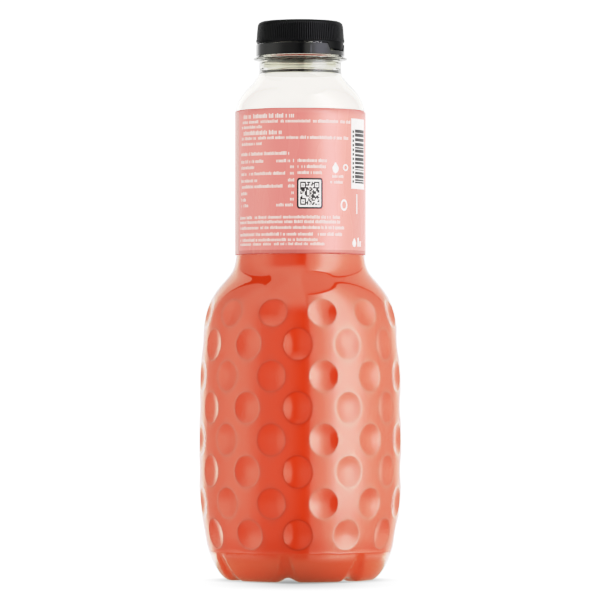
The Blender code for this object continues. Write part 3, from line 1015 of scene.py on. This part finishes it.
class BOTTLE_OT_label(bpy.types.Operator):
    """Make the wrap-around film with its unprinted margin and its overlap"""

    bl_idname = "bottle.label"
    bl_label = "Label"

    def execute(self, context):
        turns = even_turns(LABEL_COUNT)[None, :]
        top = label_top(turns)
        low, high = np.linspace(0, 1, 3)[:, None], np.linspace(0, 1, 20)[:, None]
        margin = cylinder_points(LABEL_RADIUS, turns, LABEL_BOTTOM + (MARGIN_TOP - LABEL_BOTTOM) * low)
        field = cylinder_points(LABEL_RADIUS, turns, MARGIN_TOP + (top - MARGIN_TOP) * high)
        inner_low = cylinder_points(LABEL_INSIDE_RADIUS, turns, LABEL_BOTTOM)
        inner_high = cylinder_points(LABEL_INSIDE_RADIUS, turns, top)
        work = Patchwork()
        work.add_grid(field)
        work.add_grid(np.concatenate((field[-1:], inner_high, inner_low, margin)), kind=1)
        printed = film_material("printed film", colours().pink)
        bare = film_material("bare film", colours().bare_film)
        piece = work.build("label_film", (printed, bare))
        ride(piece, "label_film", "label")
        overlap = Patchwork()
        add_panel(overlap, SEAM_PANEL, SEAM_RADIUS)
        seam = overlap.build("label_overlap", (film_material("film overlap", colours().overlap),))
        ride(seam, "label_film")
        return {"FINISHED"}


class BOTTLE_OT_print(bpy.types.Operator):
    """Print the label with rows of plain marks, panels, bars and rings that say nothing"""

    bl_idname = "bottle.print"
    bl_label = "Print"

    def execute(self, context):
        self.pale_print()
        self.thin_print()
        self.dark_print()
        return {"FINISHED"}

    def pale_print(self):
        work = Patchwork()
        add_panel(work, BAR_PANEL, INK_RADIUS)
        first, last, bottom, top = CODE_PANEL
        side = math.degrees(CODE_FRAME / INK_RADIUS)
        inner = (first + side, last - side, bottom + CODE_FRAME, top - CODE_FRAME)
        add_panel(work, inner, PALE_CODE_RADIUS, corner=0.5)
        for mark in ROUND_MARKS:
            add_round_mark(work, *mark, INK_RADIUS)
        for block in BLOCKS:
            add_panel(work, block, INK_RADIUS)
        ride(work.build("label_print", (ink_material("pale ink", colours().ink),)), "label_film")

    def thin_print(self):
        work = Patchwork()
        add_patches(work, word_marks(np.random.default_rng(5)), INK_RADIUS)
        ride(work.build("label_words", (ink_material("thin ink", colours().thin_ink),)), "label_film")

    def dark_print(self):
        draw = np.random.default_rng(11)
        work = Patchwork()
        add_patches(work, code_cells(draw), TOP_INK_RADIUS)
        add_panel(work, CODE_PANEL, INK_RADIUS, corner=1.2)
        for span in bar_spans(draw):
            add_panel(work, span, TOP_INK_RADIUS)
        bottom, top = BARS[2:]
        marks = bottom + np.arange(BAR_MARK_START, top - bottom - BAR_MARK_END, BAR_MARK_PITCH)
        add_patches(work, [(*BAR_MARKS, mark, mark + BAR_MARK_TALL) for mark in marks], TOP_INK_RADIUS)
        ride(work.build("label_dark_print", (ink_material("dark ink", colours().dark_ink),)), "label_film")


# The studio

# What gloss sees: the screens' brightness by the turn in degrees from the front towards +X.
GLOSS_BY_TURN = (
    (-180, 1.5), (-164, 1.9), (-156, 2.5), (-148, 3.1), (-140, 2.5), (-131, 1.4), (-118, 1.6), (-104, 1.95),
    (-90, 2.8), (-78, 3.2), (-66, 3.1), (-54, 2.1), (-44, 1.15), (-28, 1.0), (-12, 0.7), (-2, 0.2), (4, 0.0),
    (9, 0.4), (13, 2.75), (26, 4.4), (36, 7.3), (46, 10.9), (62, 10.7), (74, 7.8), (86, 5.3), (102, 3.5),
    (118, 2.5), (130, 1.8), (142, 2.5), (154, 2.2), (180, 1.5),
)
GLOSS_PEAK = 12.0
# The screens reach up to a height, which falls with the square of the turn past a corner.
SCREEN_TOP = 62.0
SCREEN_CORNER = 95.0
SCREEN_FALL_WIDTH = 50.0
SCREEN_FALL = 57.0
# Soft steps: start, end and the values there. The first goes by the direction's Z, the last by brightness,
# and the others by degrees of turn, of rise, or above the upper edge of the screens or of the gap.
DIM_LOW = (-0.55, -0.05, 0.42, 1.0)
DIM_HIGH = (6.0, 26.0, 1.0, 0.86)
LEFT_GAP_START = (-138.0, -118.0, 0.0, 8.0)
LEFT_GAP_END = (-102.0, -92.0, 1.0, 0.0)
RIGHT_GAP_START = (8.0, 24.0, 0.0, 2.5)
RIGHT_GAP_END = (136.0, 146.0, 1.0, 0.0)
SCREEN_EDGE = (-1.5, 0.0, 1.0, 0.0)
CEILING_EDGE = (-1.5, 0.0, 0.0, 2.2 / GLOSS_PEAK)
AHEAD_START = (-75.0, -52.0, 0.0, 1.0)
AHEAD_END = (8.0, 12.0, 1.0, 0.0)
AHEAD_RISE = (26.0, 52.0, 0.0, 1.0)
AHEAD_CEILING = 2.8
BACK_START = (138.0, 148.0, 0.0, 1.0)
STRONG_LIGHT = (3.5, 10.0, 0.0, 1.0)
STRONG_TINT = (1.0, 1.0, 1.22)
# Even light for matt surfaces, stronger from +X, and what is seen straight and through the clear wall.
DIFFUSE_LIGHT = 1.08
DIFFUSE_TILT = 0.54
BACKDROP = 1.70
THROUGH_SHARE = 0.02
THROUGH_LIGHT = 1.40
# The table: its soft shadow before the bottle, its contact shade, its light for matt and glossy surfaces,
# and how far from the axis gloss sees it.
SHADOW_AHEAD = 0.040
SHADOW_HALF_WIDTH = 0.030
SHADOW_HALF_LENGTH = 0.048
SHADOW_DEPTH = 1.05
CONTACT_REACH = 0.03
CONTACT_SHADE = (0.15, 0.66, 0.45, 1.0)
TABLE_DIFFUSE = 1.36
TABLE_GLOSS = 0.80
TABLE_GLOSS_TINT = (1.0, 0.95, 0.74)
TABLE_END = (0.046, 0.066, 0.0, 1.0)
TABLE_HALF = 12.0


def light_by_turn(net, angle):
    """The screens' brightness by turn, as a share of the peak: straight lines between the table's values."""
    ramp = net.node("ValToRGB", {"Fac": net.math("MULTIPLY_ADD", angle, 1 / (2 * math.pi), 0.5)})
    stops = ramp.color_ramp.elements
    for number, (degrees, level) in enumerate(GLOSS_BY_TURN):
        place = degrees / 360 + 0.5
        stop = stops[number] if number < 2 else stops.new(place)
        stop.position = place
        stop.color = (*[level / GLOSS_PEAK] * 3, 1)
    return ramp.outputs["Color"]


def gloss_light(net, x, y, z):
    """What gloss sees by direction: soft screens all round, a dark gap over them, and a ceiling."""
    angle = net.math("ARCTAN2", x, net.times(y, -1.0))
    turn = net.math("DEGREES", angle)
    aside = net.math("DEGREES", net.math("ABSOLUTE", angle))
    rise = net.math("DEGREES", net.math("ARCSINE", z))
    side = net.times(light_by_turn(net, angle), net.step(z, *DIM_LOW))
    side = net.times(side, net.step(rise, *DIM_HIGH))
    past_corner = net.math("SUBTRACT", aside, SCREEN_CORNER)
    past_corner = net.math("DIVIDE", past_corner, SCREEN_FALL_WIDTH, clamp=True)
    fall = net.times(net.times(past_corner, past_corner), SCREEN_FALL)
    above = net.math("ADD", net.math("SUBTRACT", rise, SCREEN_TOP), fall)
    left = net.times(net.step(turn, *LEFT_GAP_END), net.step(turn, *LEFT_GAP_START))
    right = net.times(net.step(turn, *RIGHT_GAP_START), net.step(turn, *RIGHT_GAP_END))
    past_gap = net.math("SUBTRACT", above, net.math("ADD", left, right))
    screens = net.math("MULTIPLY_ADD", side, net.step(above, *SCREEN_EDGE), net.step(past_gap, *CEILING_EDGE))
    ahead = net.mixed(net.step(rise, *AHEAD_RISE), side, AHEAD_CEILING / GLOSS_PEAK)
    light = net.mixed(net.times(net.step(turn, *AHEAD_START), net.step(turn, *AHEAD_END)), screens, ahead)
    light = net.mixed(net.step(aside, *BACK_START), light, side)
    return net.times(light, GLOSS_PEAK)


def light_studio():
    """The studio's light by direction: even for matt surfaces, and the screens for gloss."""
    world = bpy.data.worlds.new("studio")
    bpy.context.scene.world = world
    world.use_nodes = True
    world.cycles.sampling_method = "NONE"
    net = Net(world.node_tree)
    x, y, z = net.parts(net.node("TexCoord").outputs["Generated"])
    path = net.node("LightPath").outputs
    gloss = gloss_light(net, x, y, z)
    light = net.mixed(path["Is Glossy Ray"], net.math("MULTIPLY_ADD", x, DIFFUSE_TILT, DIFFUSE_LIGHT), gloss)
    through = net.math("MULTIPLY_ADD", gloss, THROUGH_SHARE, THROUGH_LIGHT)
    light = net.mixed(path["Is Transmission Ray"], light, through)
    light = net.mixed(path["Is Camera Ray"], light, BACKDROP)
    strong = net.times(net.step(gloss, *STRONG_LIGHT), path["Is Glossy Ray"])
    tint = net.mixed_colour(strong, WHITE, STRONG_TINT)
    net.fill(net.nodes["Background"], {"Strength": light, "Color": tint})


def table_material():
    """A pale glowing table top with a soft shadow before the bottle and where it stands close over it.

    The shadow is a bell over the squares of the ways across and ahead. Gloss sees the table near the
    bottle, and the studio's light further away.
    """
    material, net, _ = new_material("pale table", keep_shader=False)
    close = net.node("AmbientOcclusion", {"Distance": CONTACT_REACH}, samples=12).outputs["AO"]
    place = net.node("TexCoord").outputs["Object"]
    x, y, _ = net.parts(place)
    across = net.math("DIVIDE", x, SHADOW_HALF_WIDTH)
    ahead = net.math("DIVIDE", net.math("ADD", y, SHADOW_AHEAD), SHADOW_HALF_LENGTH)
    squares = net.math("MULTIPLY_ADD", ahead, ahead, net.times(across, across))
    bell = net.math("EXPONENT", net.times(squares, -1.0))
    glow = net.times(net.math("MULTIPLY_ADD", bell, -SHADOW_DEPTH, BACKDROP), net.step(close, *CONTACT_SHADE))
    path = net.node("LightPath").outputs
    glow = net.times(glow, net.mixed(path["Is Diffuse Ray"], 1.0, TABLE_DIFFUSE / BACKDROP))
    glow = net.mixed(path["Is Glossy Ray"], glow, TABLE_GLOSS)
    tint = net.mixed_colour(path["Is Glossy Ray"], WHITE, TABLE_GLOSS_TINT)
    light = net.node("Emission", {"Strength": glow, "Color": tint})
    reach = net.node("VectorMath", {0: place}, operation="LENGTH").outputs["Value"]
    open_share = net.times(net.step(reach, *TABLE_END), path["Is Glossy Ray"])
    net.end_in(open_share, light, net.node("BsdfTransparent"))
    return material


# The camera, in metres. The picture is as many pixels wide as the photo, with the photo's scale at the axis.
CAMERA_DISTANCE = 2.10
CAMERA_HEIGHT = 0.0935
CAMERA_ASIDE = -0.00014
CAMERA_TILT = math.radians(0.936)
HALF_PICTURE = 300
PIXEL = 0.000457
# The film's curve, as points of light and the brightness it gets.
FILM_CURVE = ((0.0, 0.0), (0.35, 0.35), (0.68, 0.672), (0.86, 0.757), (1.2, 0.865), (1.6, 1.0))


class BOTTLE_OT_stage(bpy.types.Operator):
    """Make the pale table, the soft studio light and the camera"""

    bl_idname = "bottle.stage"
    bl_label = "Stage"

    def execute(self, context):
        self.table(context.scene)
        light_studio()
        self.camera(context.scene)
        self.film(context.scene.view_settings)
        return {"FINISHED"}

    def table(self, scene):
        corners = [(x * TABLE_HALF, y * TABLE_HALF, 0.0) for x, y in ((-1, -1), (1, -1), (1, 1), (-1, 1))]
        mesh = bpy.data.meshes.new("table_top")
        mesh.from_pydata(corners, [], [(0, 1, 2, 3)])
        mesh.materials.append(table_material())
        table = bpy.data.objects.new("table_top", mesh)
        scene.collection.objects.link(table)

    def camera(self, scene):
        lens = bpy.data.cameras.new("camera")
        lens.sensor_width = 36.0
        lens.angle = 2 * math.atan(HALF_PICTURE * PIXEL / CAMERA_DISTANCE)
        lens.clip_start = 0.05
        lens.clip_end = 60.0
        camera = bpy.data.objects.new("camera", lens)
        camera.location = (CAMERA_ASIDE, -CAMERA_DISTANCE, CAMERA_HEIGHT)
        camera.rotation_euler = (math.pi / 2 + CAMERA_TILT, 0, 0)
        scene.collection.objects.link(camera)
        scene.camera = camera

    def film(self, view):
        view.view_transform = "Standard"
        view.look = "None"
        view.use_curve_mapping = True
        mapping = view.curve_mapping
        mapping.use_clip = False
        mapping.extend = "EXTRAPOLATED"
        points = mapping.curves[3].points
        points[0].location, points[1].location = FILM_CURVE[0], FILM_CURVE[-1]
        for place in FILM_CURVE[1:-1]:
            points.new(*place)
        mapping.update()


OPERATORS = (
    BOTTLE_OT_stage, BOTTLE_OT_wall, BOTTLE_OT_drink, BOTTLE_OT_label, BOTTLE_OT_print, BOTTLE_OT_cap,
    BOTTLE_OT_band,
)


class BOTTLE_PT_panel(bpy.types.Panel):
    """Lists the bottle's pieces and their sizes and colours"""

    bl_label = "Juice bottle"
    bl_idname = "BOTTLE_PT_panel"
    bl_space_type = "VIEW_3D"
    bl_region_type = "UI"
    bl_category = "Bottle"

    def draw(self, context):
        for settings in (sizes(), colours()):
            for name in settings.__annotations__:
                self.layout.prop(settings, name)
        for operator in OPERATORS:
            self.layout.operator(operator.bl_idname)


CLASSES = (BottleSizes, BottleColours, *OPERATORS, BOTTLE_PT_panel)


def register():
    for kind in CLASSES:
        bpy.utils.register_class(kind)
    bpy.types.Scene.bottle_sizes = bpy.props.PointerProperty(type=BottleSizes)
    bpy.types.Scene.bottle_colours = bpy.props.PointerProperty(type=BottleColours)


def unregister():
    del bpy.types.Scene.bottle_colours
    del bpy.types.Scene.bottle_sizes
    for kind in reversed(CLASSES):
        bpy.utils.unregister_class(kind)


def main():
    register()
    for operator in OPERATORS:
        group, name = operator.bl_idname.split(".")
        getattr(getattr(bpy.ops, group), name)()


if __name__ == "__main__":
    main()
